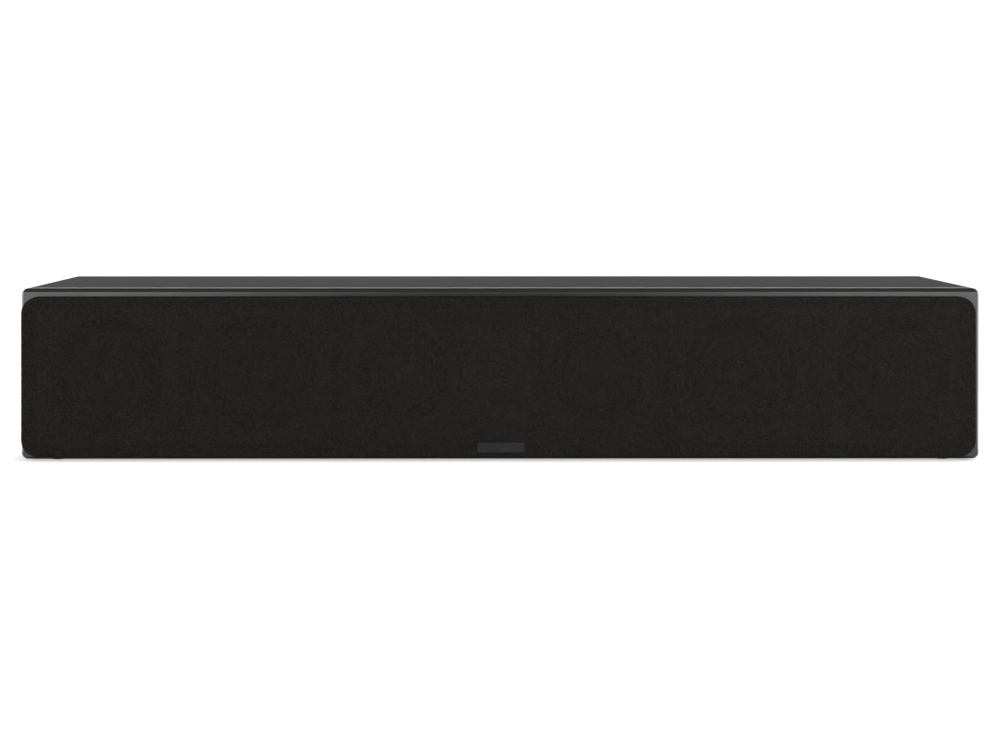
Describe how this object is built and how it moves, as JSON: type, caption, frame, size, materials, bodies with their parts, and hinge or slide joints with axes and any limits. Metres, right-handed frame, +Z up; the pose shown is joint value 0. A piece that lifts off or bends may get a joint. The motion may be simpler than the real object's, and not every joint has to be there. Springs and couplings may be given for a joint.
{
  "type": "center channel speaker",
  "caption": "Long low loudspeaker cabinet in satin black with a full-width magnetic cloth grille, rear ports and a recessed terminal cup.",
  "frame": {"origin": "middle of the whole part's footprint, on the surface that the feet stand on", "axes": "+X along the cabinet to the right as seen from the front, -Y out of the front, +Z up"},
  "size_m": [1.05, 0.3172, 0.19],
  "materials": {
    "satin_black_lacquer": "satin black lacquer on fibreboard",
    "satin_black_sleeve": "satin black paint on fibreboard",
    "black_rear_board": "black vinyl on fibreboard",
    "bare_fibreboard": "bare fibreboard",
    "black_rubber": "moulded rubber",
    "driver_basket": "textured black paint",
    "magnet_steel": "blackened steel and ferrite",
    "woven_cone": "woven fibre with a clear coat",
    "gloss_dust_cap": "glossy black",
    "surround_rubber": "matt rubber",
    "spider_cloth": "pressed varnished cloth",
    "tweeter_plate": "moulded satin black",
    "amber_film": "amber polyimide film",
    "black_abs": "moulded matt black",
    "plated_brass": "gold plated",
    "red_cap": "moulded gloss red",
    "black_cap": "moulded gloss black",
    "circuit_board": "solder-masked board",
    "grille_board": "black painted fibreboard",
    "grille_cloth": "fine knitted black cloth",
    "plated_magnet": "nickel plated",
    "badge_metal": "satin dark grey",
    "black_screw": "black oxide"
  },
  "bodies": {
    "cabinet": {"front_baffle": "satin_black_lacquer", "top_panel": "satin_black_sleeve", "bottom_panel": "satin_black_sleeve", "left_side_panel": "satin_black_sleeve", "right_side_panel": "satin_black_sleeve", "rear_panel": "black_rear_board", "left_partition": "bare_fibreboard", "right_partition": "bare_fibreboard", "rubber_feet": "black_rubber", "woofer_1_frame": "driver_basket", "woofer_2_frame": "driver_basket", "woofer_3_frame": "driver_basket", "woofer_4_frame": "driver_basket", "mid_1_frame": "driver_basket", "mid_2_frame": "driver_basket", "woofer_1_motor": "magnet_steel", "woofer_2_motor": "magnet_steel", "woofer_3_motor": "magnet_steel", "woofer_4_motor": "magnet_steel", "mid_1_motor": "magnet_steel", "mid_2_motor": "magnet_steel", "tweeter_motor": "magnet_steel", "woofer_1_surround": "surround_rubber", "woofer_2_surround": "surround_rubber", "woofer_3_surround": "surround_rubber", "woofer_4_surround": "surround_rubber", "mid_1_surround": "surround_rubber", "mid_2_surround": "surround_rubber", "woofer_1_spider": "spider_cloth", "woofer_2_spider": "spider_cloth", "woofer_3_spider": "spider_cloth", "woofer_4_spider": "spider_cloth", "mid_1_spider": "spider_cloth", "mid_2_spider": "spider_cloth", "tweeter_faceplate": "tweeter_plate", "tweeter_diaphragm": "amber_film", "left_port_tube": "black_abs", "right_port_tube": "black_abs", "terminal_cup": "black_abs", "binding_posts": "plated_brass", "crossover_board": "circuit_board", "baffle_magnets": "plated_magnet", "wood_screws": "black_screw"},
    "woofer_1_moving": {"woofer_1_cone": "woven_cone", "woofer_1_dust_cap": "gloss_dust_cap"},
    "woofer_2_moving": {"woofer_2_cone": "woven_cone", "woofer_2_dust_cap": "gloss_dust_cap"},
    "woofer_3_moving": {"woofer_3_cone": "woven_cone", "woofer_3_dust_cap": "gloss_dust_cap"},
    "woofer_4_moving": {"woofer_4_cone": "woven_cone", "woofer_4_dust_cap": "gloss_dust_cap"},
    "mid_1_moving": {"mid_1_cone": "woven_cone"},
    "mid_2_moving": {"mid_2_cone": "woven_cone"},
    "grille": {"grille_frame": "grille_board", "grille_cloth": "grille_cloth", "grille_magnets": "plated_magnet", "badge_plate": "badge_metal"},
    "red_cap": {"red_post_cap": "red_cap"},
    "black_cap": {"black_post_cap": "black_cap"}
  },
  "joints": [
    {"name": "woofer_1_travel", "type": "slide", "parent": "cabinet", "child": "woofer_1_moving", "axis": [0, -1, 0], "range_m": [-0.005, 0.005], "stiffness_N_per_m": 1000, "deforming": ["woofer_1_surround", "woofer_1_spider"]},
    {"name": "woofer_2_travel", "type": "slide", "parent": "cabinet", "child": "woofer_2_moving", "axis": [0, -1, 0], "range_m": [-0.005, 0.005], "stiffness_N_per_m": 1000, "deforming": ["woofer_2_surround", "woofer_2_spider"]},
    {"name": "woofer_3_travel", "type": "slide", "parent": "cabinet", "child": "woofer_3_moving", "axis": [0, -1, 0], "range_m": [-0.005, 0.005], "stiffness_N_per_m": 1000, "deforming": ["woofer_3_surround", "woofer_3_spider"]},
    {"name": "woofer_4_travel", "type": "slide", "parent": "cabinet", "child": "woofer_4_moving", "axis": [0, -1, 0], "range_m": [-0.005, 0.005], "stiffness_N_per_m": 1000, "deforming": ["woofer_4_surround", "woofer_4_spider"]},
    {"name": "mid_1_travel", "type": "slide", "parent": "cabinet", "child": "mid_1_moving", "axis": [0, -1, 0], "range_m": [-0.0025, 0.0025], "stiffness_N_per_m": 1200, "deforming": ["mid_1_surround", "mid_1_spider"]},
    {"name": "mid_2_travel", "type": "slide", "parent": "cabinet", "child": "mid_2_moving", "axis": [0, -1, 0], "range_m": [-0.0025, 0.0025], "stiffness_N_per_m": 1200, "deforming": ["mid_2_surround", "mid_2_spider"]},
    {"name": "grille_pull", "type": "slide", "parent": "cabinet", "child": "grille", "axis": [0, -1, 0], "range_m": [0, 0.05]},
    {"name": "red_cap_turn", "type": "hinge", "parent": "cabinet", "child": "red_cap", "pos_m": [0.00953, 0.1429, 0.0965], "axis": [0, 1, 0], "range_deg": [0, 1080]},
    {"name": "black_cap_turn", "type": "hinge", "parent": "cabinet", "child": "black_cap", "pos_m": [-0.00953, 0.1429, 0.0965], "axis": [0, 1, 0], "range_deg": [0, 1080]}
  ]
}
